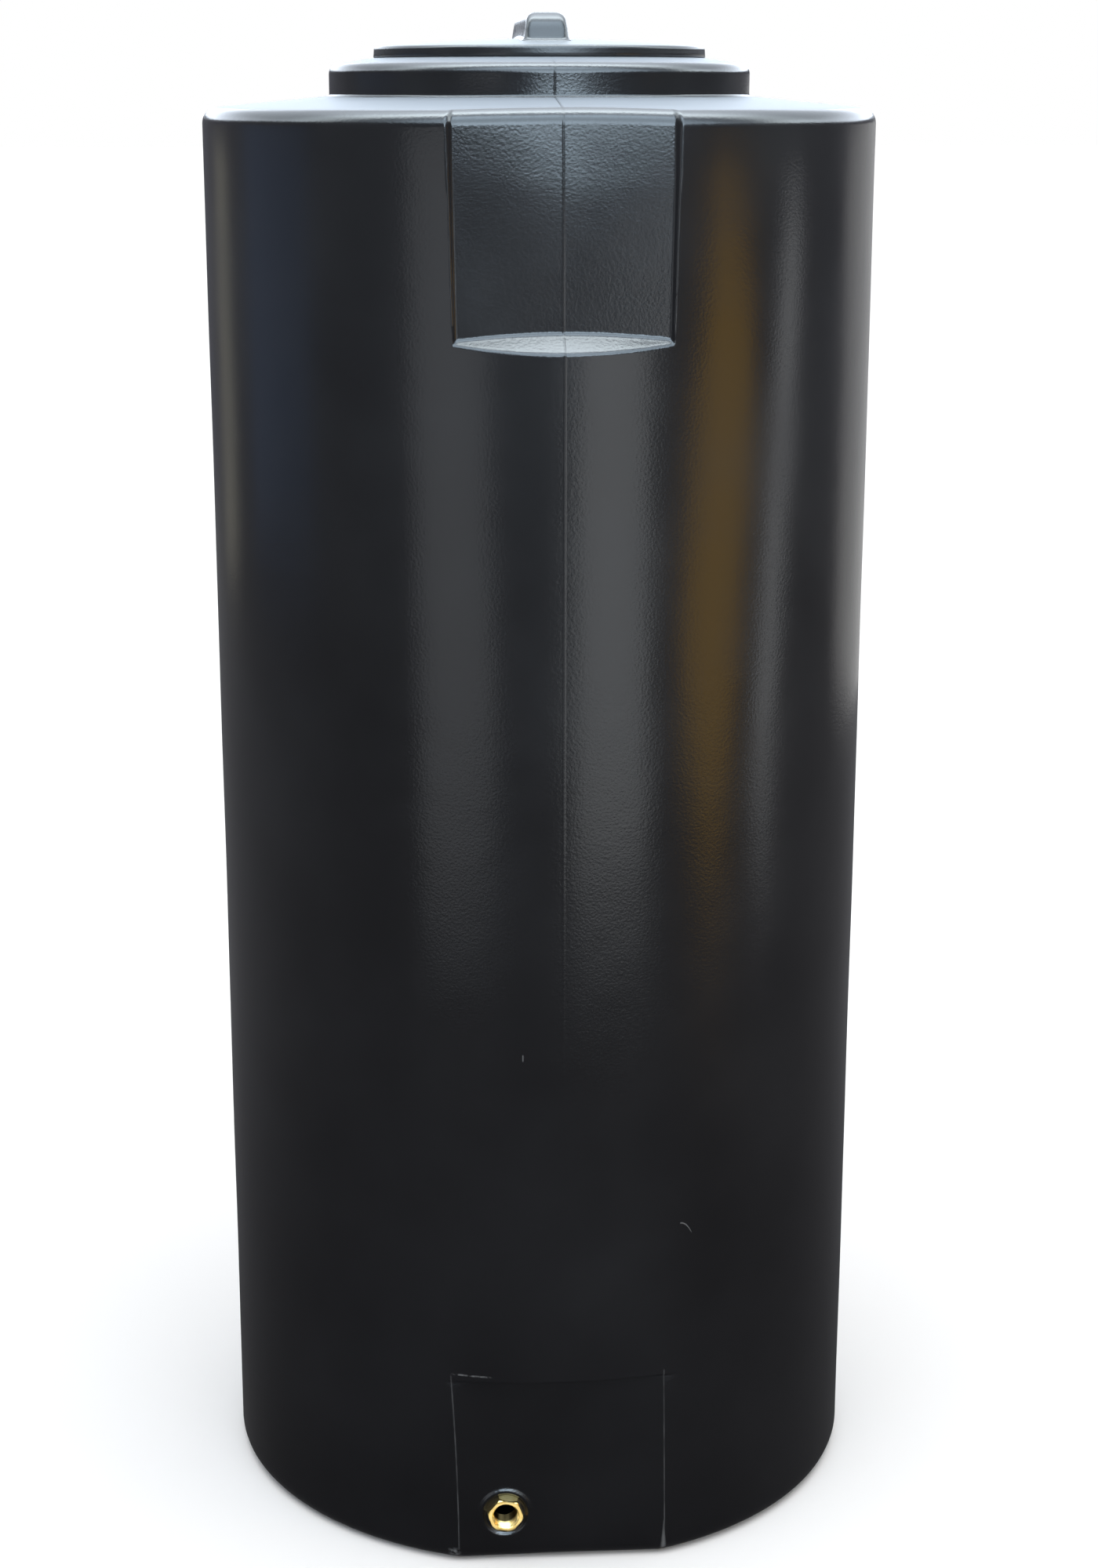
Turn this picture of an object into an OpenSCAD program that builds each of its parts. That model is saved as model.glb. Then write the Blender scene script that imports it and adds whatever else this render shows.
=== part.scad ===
// Slimline upright water tank: a moulded plastic shell, a screw lid with its
// sealing ring, and a threaded brass outlet that is moulded into the shell.
// Millimetres. The tank stands on z = 0, its axis is the Z axis, and its two
// flats and the outlet face -Y.

/* [Tank body] */
// Outside diameter of the round body
body_d = 650; // [500:5:900]
// Height of the top at the shoulder, where the sloping top starts
body_h = 1395; // [900:5:1900]
// Thickness of the moulded wall
wall_t = 5; // [4:0.5:8]
// Rounding of the bottom edge
base_edge_r = 16; // [10:1:24]
// Rounding of the shoulder
shoulder_r = 15; // [10:1:24]
// Slope of the top, in degrees
top_slope = 5.4; // [3:0.2:9]

/* [Neck] */
// Outside diameter of the raised neck
neck_d = 406; // [340:2:520]
// Height of the neck's upright side
neck_h = 20.5; // [14:0.5:40]
// Rounding of the neck's top edge
neck_edge_r = 10; // [7:0.5:14]
// Hollow rounding where the neck rises from the top
neck_root_r = 7; // [3:0.5:10]
// Slope of the neck's top, in degrees
neck_slope = 8; // [4:0.5:12]

/* [Collar and thread] */
// Width of the lid's seat around the collar that the lid screws into
seat_w = 20; // [18:1:26]
// Thickness of the collar
collar_t = 7; // [5:0.5:10]
// Height of the collar below the lid's seat
collar_h = 56; // [40:1:80]
// Height of the thread ridges
thread_h = 4; // [3:0.25:6]
// Climb of the thread in one turn
thread_lead = 20; // [14:1:26]
// Turns of each thread
thread_turns = 1.25; // [1:0.25:1.5]
// Radial clearance between collar and lid threads
thread_gap = 1.5; // [1:0.1:2.5]

/* [Lid] */
// Diameter of the lid
lid_d = 320; // [300:2:340]
// Thickness of the lid's rounded rim
lid_rim_t = 11; // [8:0.5:16]
// Rounding of the rim's upper edge
lid_rim_r = 9.5; // [6:0.5:10]
// Rise of the lid's dome above its rim
lid_rise = 7.3; // [4:0.1:14]
// Wall of the lid
lid_wall = 5; // [3:0.5:7]
// Depth of the lid's threaded skirt
skirt_h = 42; // [30:1:60]

/* [Lid handle] */
// Length of the raised bar at its foot
bar_l = 210; // [160:2:260]
// Width of the bar at its foot
bar_w = 46; // [40:1:70]
// Height of the bar above the middle of the dome
bar_h = 22.5; // [16:0.5:34]
// Draft of the bar's long sides, in degrees
bar_draft = 9; // [6:1:20]
// Slope of the bar's ends, from upright, in degrees
bar_end_slope = 16; // [10:1:50]
// Rounding of the bar's top edges
bar_edge_r = 9; // [3:0.5:10]
// Turn of the bar on the closed lid, in degrees
bar_turn = 0; // [-90:1:90]

/* [Lid seal] */
// Distance of the flat ring from the collar's bore
seal_in = 4; // [3:0.5:6]
// Width of the ring
seal_w = 7; // [5:0.5:9]
// Thickness of the ring
seal_t = 3; // [2:0.25:4]

/* [Upper flat] */
// Width of the upper flat at its bottom
upper_w = 195; // [140:1:240]
// Widening of the flat from its bottom to the top of the tank
upper_spread = 8; // [0:1:20]
// Height of the inner bottom line of the flat
upper_z = 1206; // [700:2:1700]
// Depth of the flat at that line
upper_depth = 18.5; // [16:0.5:26]
// Backward lean of the flat, in degrees
upper_lean = 0.7; // [0:0.1:2]
// Rise of the sloping ledge from its lip to the flat, in degrees
ledge_slope = 40; // [25:1:50]
// Draft of the flat's side walls, in degrees
side_draft = 35; // [15:1:45]
// Rounding where the flat runs out into the top
run_out_r = 14; // [8:1:24]

/* [Lower flat] */
// Height of the lower flat
lower_h = 200; // [140:2:300]
// Depth of the flat at its foot
lower_depth = 16.4; // [12:0.2:22]
// Backward lean of the flat, in degrees
lower_lean = 0.35; // [0:0.05:1]

/* [Outlet] */
// Sideways place of the outlet, from the middle of the flat
outlet_x = -55; // [-60:1:60]
// Height of the outlet's axis
outlet_z = 52; // [46:1:120]
// Width across the flats of the brass hexagon
hex_w = 32; // [30:0.5:36]
// Turn of the hexagon, in degrees
hex_turn = 10; // [0:1:30]
// Diameter of the outlet's threaded bore at the thread crests
bore_d = 24.1; // [20:0.1:25]
// Length of the brass body
insert_l = 25; // [20:1:32]
// Stand-out of the brass beyond the boss
insert_out = 3.5; // [1:0.5:5]
// Width of each of the two turned grooves that hold the brass
groove_w = 4; // [3:0.5:5]
// Depth of those grooves below the flats of the hexagon
groove_t = 1; // [0.5:0.25:1.5]
// Widening of the waterway behind the thread
thread_relief = 1.5; // [1:0.25:2]
// Bevel at the mouth of the bore
mouth_bevel = 1.2; // [0.5:0.1:1.6]
// Diameter of the round boss
boss_d = 54; // [50:1:64]
// Stand-out of the boss from the flat
boss_out = 2; // [1.5:0.5:5]
// Depth of the dish around the brass
dish_t = 2.5; // [1:0.5:4]
// Diameter of the dish at its mouth
dish_d = 47; // [44:0.5:50]

/* [Hidden] */
$fa = 6;
$fs = 0.5;

body_r = body_d / 2;
neck_r = neck_d / 2;
lid_r = lid_d / 2;
collar_r = lid_r - seat_w;
seal_r = collar_r + seal_in;

// the sloping top starts where the shoulder's rounding ends
shoulder_run = body_r - shoulder_r + shoulder_r * sin(top_slope);
neck_foot_z = body_h + (shoulder_run - neck_r) * tan(top_slope);
neck_side_z = neck_foot_z + neck_h;
neck_run = neck_r - neck_edge_r + neck_edge_r * sin(neck_slope);
seat_z = neck_side_z + neck_edge_r * cos(neck_slope) + (neck_run - lid_r) * tan(neck_slope);
collar_z = seat_z - collar_h;

skirt_r = collar_r - thread_h - thread_gap;
rim_r = lid_rim_r;
rim_x = lid_r - rim_r;
rim_z = seat_z + lid_rim_t - rim_r;
dome_h = rim_r + lid_rise;
dome_r = (rim_x * rim_x + dome_h * dome_h - rim_r * rim_r) / (2 * (dome_h - rim_r));
dome_z = rim_z + dome_h;
dome_mid_z = dome_z - dome_r;
bar_z = dome_z + bar_h;
bar_foot_z = seat_z + lid_rim_t / 2;

lower_y = lower_depth - body_r;
outlet_y = lower_y + outlet_z * tan(lower_lean);
boss_y = outlet_y - boss_out;
brass_y = boss_y - insert_out;
brass_back_y = brass_y + insert_l;

// Rounded shell outline

// Outline of the body in the half plane, drawn w inside the outer face
module body_outline(w) {
    r = body_r - w;
    be = base_edge_r - w;
    sh = shoulder_r - w;
    ne = neck_edge_r - w;
    nr = neck_r - w;
    sx = body_r - shoulder_r;
    sz = body_h - shoulder_r * cos(top_slope);
    nx = neck_r - neck_edge_r;
    top = seat_z - w;
    slope_x = nx + ne * sin(neck_slope);
    slope_z = neck_side_z + ne * cos(neck_slope);
    slope_run = slope_x - (top - slope_z) / tan(neck_slope);
    foot_z = sz + sh * cos(top_slope) + (sx + sh * sin(top_slope) - nr) * tan(top_slope);
    polygon([
        [0, w], [r - be, w], [r, w + be], [r, sz],
        [sx + sh * sin(top_slope), sz + sh * cos(top_slope)],
        [nr, foot_z], [nr, neck_side_z],
        [slope_x, slope_z], [slope_run, top], [0, top]
    ]);
    translate([r - be, w + be]) circle(r = be);
    translate([sx, sz]) circle(r = sh);
    translate([nx, neck_side_z]) circle(r = ne);
    neck_root(nr, foot_z, neck_root_r + w);
}

// Hollow rounding between the sloping top and the neck's side
module neck_root(nr, foot_z, f) {
    cx = nr + f;
    cz = foot_z - f * tan(top_slope) + f / cos(top_slope);
    difference() {
        polygon([
            [nr - 0.5, foot_z - 0.5], [nr, foot_z],
            [cx - f * sin(top_slope), cz - f * cos(top_slope)],
            [nr, cz], [nr - 0.5, cz]
        ]);
        translate([cx, cz]) circle(r = f);
    }
}

// Side outline of the upper flat's cut, drawn w behind its face
module upper_side(w) {
    y0 = upper_depth - body_r + w;
    y1 = y0 + (body_h - upper_z) * tan(upper_lean);
    z0 = upper_z + w * tan(ledge_slope) - w / cos(ledge_slope);
    out = upper_depth + 20 + w;
    rr = run_out_r;
    tilt = 90 - top_slope - upper_lean;
    step = rr * tan(tilt / 2);
    zt = body_h + (shoulder_run + y1) * tan(top_slope) - w;
    polygon([
        [y0 - out, z0 - out * tan(ledge_slope)],
        [y0, z0],
        [y1, zt],
        [y1, body_h + 60],
        [y0 - out, body_h + 60]
    ]);
    // the flat bends back into the sloping top
    difference() {
        polygon([
            [y1 - 0.2, zt - step], [y1, zt - step],
            [y1 + step * cos(top_slope), zt + step * sin(top_slope)],
            [y1 + step, zt + 30], [y1 - 0.2, zt + 30]
        ]);
        translate([y1 + rr, zt - step]) circle(r = rr);
    }
}

// Plan outline of the upper flat's cut, with drafted side walls
module upper_plan(w) {
    y0 = upper_depth - body_r + w;
    half = (upper_w + upper_spread) / 2;
    lip = -sqrt(body_r * body_r - half * half);
    foot = half - (y0 - w - lip) * tan(side_draft) + w;
    deep = 60;
    polygon([
        [-foot + deep * tan(side_draft) * 0.2, y0 + deep],
        [-foot, y0], [-foot - 80 * tan(side_draft), y0 - 80],
        [foot + 80 * tan(side_draft), y0 - 80], [foot, y0],
        [foot - deep * tan(side_draft) * 0.2, y0 + deep]
    ]);
}

// Front outline of the upper flat's cut, wider at the top
module upper_front(w) {
    low = upper_w / 2 + w;
    high = low + upper_spread / 2;
    rise = body_h - upper_z;
    lean = (high - low) / rise;
    polygon([
        [-low + 100 * lean, upper_z - 100], [low - 100 * lean, upper_z - 100],
        [high + 100 * lean, body_h + 100], [-high - 100 * lean, body_h + 100]
    ]);
}

// What is cut away in front of the upper flat
module upper_cut(w) {
    intersection() {
        translate([-body_r, 0, 0]) rotate([90, 0, 90]) linear_extrude(body_d) upper_side(w);
        translate([0, 0, upper_z - 90]) linear_extrude(body_h) upper_plan(w);
        rotate([90, 0, 0]) linear_extrude(body_r + 20) upper_front(w);
    }
}

// What is cut away in front of the lower flat, with a rounded bottom edge
module lower_cut(w) {
    y0 = lower_y + w;
    y1 = y0 + lower_h * tan(lower_lean);
    be = base_edge_r - w;
    top = lower_h + w;
    translate([-body_r / 2, 0, 0]) rotate([90, 0, 90]) linear_extrude(body_r) {
        polygon([
            [y0 - 60, -10], [y0, -10], [y0, w + be],
            [y1, top], [y1 - 60, top]
        ]);
        difference() {
            translate([y0 - 0.2, -10]) square([be + 0.2, w + be + 10]);
            translate([y0 + be, w + be]) circle(r = be);
        }
    }
}

// One helical ridge: foot radius r, standing out by h (inward where h < 0)
module helix_ridge(r, h, z0, turns, lead, root_w, crest_w) {
    steps = 56;
    n = ceil(turns * steps);
    sink = h > 0 ? -1.2 : 1.2;
    pts = [for (i = [0:n]) let (
        a = 360 * i / steps,
        z = z0 + lead * i / steps,
        k = min(1, (i + 0.4) / 4, (n - i + 0.4) / 4),
        top = r + h * k)
        each [
            [(r + sink) * cos(a), (r + sink) * sin(a), z - root_w / 2],
            [top * cos(a), top * sin(a), z - crest_w / 2],
            [top * cos(a), top * sin(a), z + crest_w / 2],
            [(r + sink) * cos(a), (r + sink) * sin(a), z + root_w / 2]
        ]];
    sides = [for (i = [0:n - 1], j = [0:3]) let (
        a = 4 * i + j,
        b = 4 * i + (j + 1) % 4)
        each [[a, b, b + 4], [a, b + 4, a + 4]]];
    caps = [[0, 3, 2], [0, 2, 1], [4 * n, 4 * n + 1, 4 * n + 2], [4 * n, 4 * n + 2, 4 * n + 3]];
    faces = concat(sides, caps);
    flipped = [for (f = faces) [f[2], f[1], f[0]]];
    polyhedron(points = pts, faces = h > 0 ? faces : flipped);
}

// Brass insert

// Hexagonal bar with two turned grooves, mouth towards -Y
module insert_body() {
    translate([outlet_x, brass_y, outlet_z]) rotate([-90, 0, 0]) rotate([0, 0, hex_turn]) {
        difference() {
            cylinder(h = insert_l, d = hex_w / cos(30), $fn = 6);
            for (at = [0.36, 0.72]) {
                translate([0, 0, insert_l * at]) difference() {
                    cylinder(h = groove_w, d = hex_w * 1.5);
                    translate([0, 0, -1]) cylinder(h = groove_w + 2, d = hex_w - 2 * groove_t);
                }
            }
        }
    }
}

module outlet_insert() {
    color([0.82, 0.66, 0.33])
    difference() {
        insert_body();
        translate([outlet_x, brass_y - 1, outlet_z]) rotate([-90, 0, 0])
            cylinder(h = insert_l + 2, d = bore_d);
        translate([outlet_x, brass_y, outlet_z]) rotate([-90, 0, 0])
            cylinder(h = mouth_bevel, d1 = bore_d + 2 * mouth_bevel, d2 = bore_d);
    }
}

// Tank shell

// Round boss with a rounded rim and a dish around the brass
module outlet_boss() {
    back = brass_back_y + wall_t / 2;
    edge = boss_out * 0.8;
    br = boss_d / 2;
    translate([outlet_x, boss_y, outlet_z]) rotate([-90, 0, 0]) rotate_extrude() {
        polygon([
            [0, 0], [br - edge, 0], [br, edge], [br, boss_out + wall_t / 2],
            [br - wall_t / 2, back - boss_y], [0, back - boss_y]
        ]);
        translate([br - edge, edge]) circle(r = edge);
    }
}

module shell_body() {
    difference() {
        rotate_extrude() body_outline(0);
        upper_cut(0);
        lower_cut(0);
    }
}

// The space inside: the same form, one wall thickness in, and the collar's bore
module shell_space() {
    difference() {
        rotate_extrude() difference() {
            body_outline(wall_t);
            translate([collar_r - 1, collar_z]) square([collar_t + 1, collar_h + 10]);
        }
        upper_cut(wall_t);
        lower_cut(wall_t);
    }
    rotate_extrude() polygon([
        [0, collar_z - 10], [collar_r, collar_z - 10], [collar_r, seat_z - 2],
        [collar_r + 2, seat_z], [collar_r + 2, seat_z + 10], [0, seat_z + 10]
    ]);
}

module tank_shell() {
    color([0.09, 0.09, 0.1])
    difference() {
        union() {
            difference() {
                shell_body();
                shell_space();
            }
            outlet_boss();
            helix_ridge(collar_r, -thread_h, collar_z + 10, thread_turns, thread_lead, 9, 4);
        }
        translate([outlet_x, boss_y, outlet_z]) rotate([-90, 0, 0])
            cylinder(h = dish_t, d1 = dish_d, d2 = hex_w + 7);
        translate([outlet_x, boss_y, outlet_z]) rotate([-90, 0, 0])
            cylinder(h = insert_l + wall_t + 10, d = bore_d + 2 * thread_relief);
        insert_body();
    }
}

// Lid seal

// Flat rubber ring in a groove under the lid's rim
module lid_seal() {
    color([0.12, 0.12, 0.12])
    rotate_extrude() translate([seal_r, seat_z]) square([seal_w, seal_t]);
}

// Lid

// Section of the lid without its handle, drawn t inside the outer face
module lid_dome(t) {
    intersection() {
        translate([0, seat_z - skirt_h]) square([rim_x, skirt_h + 60]);
        translate([0, dome_mid_z]) circle(r = dome_r - t);
    }
}

module lid_section() {
    difference() {
        union() {
            difference() {
                lid_dome(0);
                translate([skirt_r, seat_z - skirt_h - 1]) square([lid_r, skirt_h + 1]);
            }
            intersection() {
                translate([rim_x, rim_z]) circle(r = rim_r);
                translate([0, seat_z]) square([lid_r + 1, lid_rim_t + 1]);
            }
            polygon([[0, seat_z + 1], [0, rim_z], [rim_x, rim_z], [rim_x, seat_z], [skirt_r - 1, seat_z]]);
        }
        translate([seal_r, seat_z - 1]) square([seal_w, seal_t + 1]);
        intersection() {
            translate([0, seat_z - skirt_h - 1]) square([skirt_r - lid_wall, skirt_h + 60]);
            translate([0, dome_mid_z]) circle(r = dome_r - lid_wall);
        }
    }
}

// Bar outline seen along its length or from its side: foot half width, top, side angle
module bar_outline(half, top, draft, edge) {
    high = top - bar_foot_z;
    up = top - edge;
    cx = half - (up - bar_foot_z) * tan(draft) - edge / cos(draft);
    polygon([
        [-half, bar_foot_z], [half, bar_foot_z],
        [cx + edge * cos(draft), up + edge * sin(draft)],
        [cx, top], [-cx, top],
        [-cx - edge * cos(draft), up + edge * sin(draft)]
    ]);
    translate([cx, up]) circle(r = edge);
    translate([-cx, up]) circle(r = edge);
}

module bar_solid(t) {
    rotate([0, 0, bar_turn]) intersection() {
        translate([0, bar_l / 2, 0]) rotate([90, 0, 0]) linear_extrude(bar_l)
            bar_outline(bar_w / 2 - t, bar_z - t, bar_draft, bar_edge_r - t);
        translate([-bar_w / 2, 0, 0]) rotate([90, 0, 90]) linear_extrude(bar_w)
            bar_outline(bar_l / 2 - t, bar_z - t, bar_end_slope, 2 * bar_edge_r - t);
    }
}

module lid() {
    color([0.1, 0.1, 0.11])
    union() {
        difference() {
            union() {
                rotate_extrude() lid_section();
                difference() {
                    bar_solid(0);
                    translate([0, 0, bar_foot_z - 1])
                        cylinder(h = dome_z - lid_wall - bar_foot_z - 1, r = lid_r);
                }
            }
            bar_solid(lid_wall);
        }
        helix_ridge(skirt_r, thread_h, seat_z - skirt_h + 6, thread_turns, thread_lead, 9, 4);
    }
}

tank_shell();
outlet_insert();
lid_seal();
lid();
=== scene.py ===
# %% [markdown]
# # A slimline water tank over its CAD frame
# The tank is one hollow moulding of black plastic with a screw lid and a
# brass outlet. The CAD frame fixes every size. This file gives each piece
# its rolled edges, its skin and the light that a glossy black wall needs.

# %% Load the frame
import math

import bmesh
import bpy
import numpy as np
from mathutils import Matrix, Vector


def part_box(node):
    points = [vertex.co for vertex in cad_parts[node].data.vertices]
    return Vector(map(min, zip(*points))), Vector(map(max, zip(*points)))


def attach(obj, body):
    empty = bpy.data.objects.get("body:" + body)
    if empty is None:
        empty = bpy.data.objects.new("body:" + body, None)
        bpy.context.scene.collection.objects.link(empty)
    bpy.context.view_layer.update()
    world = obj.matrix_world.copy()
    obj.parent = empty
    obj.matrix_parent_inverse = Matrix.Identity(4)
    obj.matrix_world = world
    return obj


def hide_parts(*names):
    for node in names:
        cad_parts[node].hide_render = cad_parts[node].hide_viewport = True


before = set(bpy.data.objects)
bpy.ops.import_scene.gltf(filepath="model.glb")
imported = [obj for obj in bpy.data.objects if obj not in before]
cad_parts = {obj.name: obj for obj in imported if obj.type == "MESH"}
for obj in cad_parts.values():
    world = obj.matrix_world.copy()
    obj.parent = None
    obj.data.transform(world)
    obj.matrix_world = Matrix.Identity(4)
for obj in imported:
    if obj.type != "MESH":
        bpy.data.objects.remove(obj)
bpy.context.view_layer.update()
MM = 0.001

# %% [markdown]
# ## Sizes
# Everything is measured from the frame where the frame can say it: the
# radius of the body, the height of the lid's seat, the place of the brass.
# The rest are the mould's own sizes, such as edge radii and slopes.

# %% Sizes of the body
shell_low, shell_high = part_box("tank_shell")
body_r = (shell_high.x - shell_low.x) / 2
seat_z = shell_high.z
wall_t = 5 * MM
base_edge = 16 * MM
shoulder_edge = 15 * MM
top_slope = math.tan(math.radians(5.4))
top_tilt = math.atan(top_slope)
top_z = 1395 * MM
shoulder_end = body_r - shoulder_edge + shoulder_edge * math.sin(top_tilt)
neck_r = 203 * MM
neck_edge = 10 * MM
neck_root = 2.5 * MM
neck_tilt = math.radians(8)
neck_run = neck_r - neck_edge + neck_edge * math.sin(neck_tilt)
print("body radius", round(body_r / MM, 1), "mm, seat at", round(seat_z / MM, 1), "mm")

# %% Sizes of the recess at the top of the wall
upper_foot_z = 1206 * MM
upper_y = body_r - 18.5 * MM
upper_lean = math.tan(math.radians(0.7))
upper_half = 97.5 * MM
upper_spread = 4 * MM / (top_z - upper_foot_z)
side_run = 1 / math.tan(math.radians(35))
ledge_run = 1 / math.tan(math.radians(41))
ledge_drop, ledge_droop = 1.5 * MM, 6 * MM
sag_x, sag_reach = 12 * MM, 64 * MM
roll_foot_z, roll_foot_drop, roll_top_z = 1340 * MM, 62 * MM, 1392 * MM
roll_back, sag_back = 1.0 * MM, 4.6 * MM
side_soft, ledge_soft = 2 * MM, 2.5 * MM
print("recess", round(2 * upper_half / MM), "mm wide, foot at", round(upper_foot_z / MM), "mm")

# %% Sizes of the flat low on the wall, and of the blends into the body
lower_top_z = 200 * MM
lower_y = body_r - 16.4 * MM
lower_lean = math.tan(math.radians(0.35))
lip_drop, lip_steep, lip_soft = 3 * MM, 5, 4 * MM
crease_soft, lip_extra, lip_reach = 1.6 * MM, 4 * MM, 12 * MM
recess_soft, crown_extra = 2 * MM, 7 * MM
crown_foot_z, crown_reach = 1345 * MM, 45 * MM
print("lower flat", round((body_r - lower_y) / MM, 1), "mm deep, top at",
      round(lower_top_z / MM), "mm")

# %% Sizes of the outlet, the collar and the lid
brass_low, brass_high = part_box("outlet_insert")
outlet_x = (brass_low.x + brass_high.x) / 2
outlet_z = (brass_low.z + brass_high.z) / 2
brass_front, brass_back = brass_low.y, brass_high.y
hex_w = 32 * MM
hex_turn = math.radians(10)
bore_r = 12.05 * MM
boss_r, boss_out = 27 * MM, 2 * MM
dish_r, dish_t = 23.5 * MM, 2.5 * MM
collar_r, collar_t, collar_h = 140 * MM, 7 * MM, 56 * MM
thread_h, thread_lead, thread_turns = 4 * MM, 20 * MM, 1.25
lid_low, lid_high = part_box("lid")
lid_r = (lid_high.x - lid_low.x) / 2
lid_rim_t, lid_rim = 11 * MM, 9.5 * MM
lid_rise = 7.3 * MM
neck_side_z = (seat_z - neck_edge * math.cos(neck_tilt)
               - (neck_run - lid_r) * math.tan(neck_tilt))
skirt_r, skirt_h, lid_wall = 134.5 * MM, 42 * MM, 5 * MM
ridge_root, ridge_crest = 9 * MM, 4 * MM
print("outlet at x", round(outlet_x / MM, 1), "z", round(outlet_z / MM, 1), "mm")

# %% [markdown]
# ## Soft corners
# A rotationally moulded tank has no sharp corner: powder melts against a
# hot mould and rounds everything over. Two small blends do that for any
# pair of surfaces that are given as numbers. `soft_low` keeps the lower
# value and `soft_high` the higher one, and both round the change over a
# width `k`.

# %% Blends for rolled edges
def soft_high(a, b, k):
    gap = np.maximum(1 - np.abs(a - b) / k, 0)
    return np.maximum(a, b) + k * gap * gap / 4


def soft_low(a, b, k):
    return -soft_high(-a, -b, k)


def ease(t):
    t = np.clip(t, 0, 1)
    return t * t * (3 - 2 * t)


print("a blend 4 mm wide moves a corner by", round(soft_high(0, 0, 4 * MM) / MM, 2), "mm")

# %% [markdown]
# ## The wall as one height field
# The wall could be cut out of a cylinder with boolean cutters, which
# leaves hard edges. Here the radius of the wall is a formula of the angle
# and the height instead, so each flat, its ledge and its side walls blend
# into the round body as they do in the mould. The angle is 0 at the front.

# %% Radius of the wall at an angle and a height
FAR = 10.0


def upper_flat(angle, z):
    """Radius of the recess: its face, its two slanting sides and the ledge at its foot."""
    c, s = np.cos(angle), np.abs(np.sin(angle))
    x = body_r * np.sin(angle)
    # the face rolls back towards the top, and most of all where it sags near the middle
    sag = np.exp(-((x - sag_x) / sag_reach) ** 2)
    start = roll_foot_z - roll_foot_drop * sag
    roll = np.clip((z - start) / (roll_top_z - start), 0, 1)
    face = upper_y - np.maximum(z - upper_foot_z, 0) * upper_lean
    face = face - (roll_back + sag_back * sag) * roll ** 2
    flat = np.where(c > 0.5, face / np.maximum(c, 0.5), FAR)
    edge = upper_half + (z - upper_foot_z) * upper_spread
    lip = np.sqrt(body_r ** 2 - edge ** 2)
    foot = edge - (lip - face) / side_run
    lean = c - s * side_run
    side = np.where(lean > 0.1, (face - foot * side_run) / np.maximum(lean, 0.1), FAR)
    # the ledge droops towards its ends
    ledge_z = upper_foot_z - ledge_drop - ledge_droop * (x / upper_half) ** 2
    ledge = np.where(c > 0.5, (face + (ledge_z - z) * ledge_run) / np.maximum(c, 0.5), FAR)
    return soft_high(soft_high(flat, side, side_soft), ledge, ledge_soft)


def lower_flat(angle, z):
    """Radius of the flat low on the wall, with the lip that closes it at the top."""
    c = np.cos(angle)
    face = lower_y - z * lower_lean
    flat = np.where(c > 0.5, face / np.maximum(c, 0.5), FAR)
    lip = face + (z - lower_top_z + lip_drop) * lip_steep
    lip = np.where(c > 0.5, lip / np.maximum(c, 0.5), FAR)
    return soft_high(flat, lip, lip_soft)


def wall_radius(angle, z):
    """The round body with both flats blended in, softer at the crown and at the lip."""
    crown = ease((z - crown_foot_z) / crown_reach)
    r = soft_low(body_r, upper_flat(angle, z), recess_soft + crown_extra * crown)
    lip = ease(1 - np.abs(z - lower_top_z) / lip_reach)
    return soft_low(r, lower_flat(angle, z), crease_soft + lip_extra * lip)


print("flats at 0 deg:", [round(float(wall_radius(0.0, z)) / MM, 1) for z in (0.1, 0.7, 1.3)])

# %% [markdown]
# ## Boss, parting ridge and waviness
# Three small things ride on the wall. The outlet sits in a low round boss
# with a dish. A thin ridge runs up the middle where the two halves of the
# mould met. And the skin is never quite true, so reflections wander.

# %% Small reliefs on the wall
ridge_h, ridge_w = 0.3 * MM, 0.8 * MM
slow_h, mid_h = 0.35 * MM, 0.12 * MM


def boss_relief(x, z):
    """The plateau of the boss less the dish in it, each with a soft edge."""
    away = np.hypot(x - outlet_x, z - outlet_z)
    plateau = ease((boss_r + 0.8 * MM - away) / (2.2 * MM)) * boss_out
    dish = ease((dish_r - away) / (4 * MM)) * dish_t
    return plateau - dish


def parting_ridge(x):
    return ridge_h * np.exp(-(x / ridge_w) ** 2)


def waviness(angle, z):
    """Two waves: a slow one, and a shorter one a third as high."""
    slow = np.sin(3 * angle + 5.1 * z + 0.4) * np.sin(9.7 * z + 1.3)
    mid = np.sin(11 * angle - 13.0 * z + 2.0) * np.sin(17.0 * z + 4 * angle)
    return slow_h * slow + mid_h * mid


print("boss stands", round(boss_out / MM, 1), "mm out, parting ridge", ridge_h / MM, "mm")

# %% [markdown]
# ## Rows and columns
# The grid is fine where the form turns quickly and coarse elsewhere: fine
# columns at the sides of the flats, over the outlet and at the parting
# ridge, and fine rows at the ledge, the lip and the rounded edges.

# %% Spacing of the tank's columns
def spread(*stretches):
    marks = [np.arange(a, b, step) for a, b, step in stretches]
    return np.unique(np.round(np.concatenate(marks), 7))


# the outlet is on the left as seen from the front, so that side has its fine columns
shared = ((0.06, 1.2, 0.06), (1.2, 3.6, 0.6), (16.4, 20.4, 0.16), (20.4, 26, 0.8),
          (26, 178.8, 2.4), (178.8, 179.97, 0.06))
outlet_side = spread((3.6, 16.4, 0.25), *shared)
plain_side = spread((3.6, 16.4, 1.6), *shared)
columns = np.radians(np.unique(np.concatenate([-outlet_side, [0], plain_side])))
print("columns", len(columns))

# %% Heights of the tank's wall rows
wall_rows = MM * spread((16, 24, 4), (24, 81, 1.6), (82, 190, 18), (190, 208, 0.9),
                        (208, 230, 6), (230, 1170, 30), (1170, 1182, 4), (1182, 1214, 1.3),
                        (1214, 1240, 5), (1240, 1360, 20))
print("wall rows", len(wall_rows))


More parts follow.
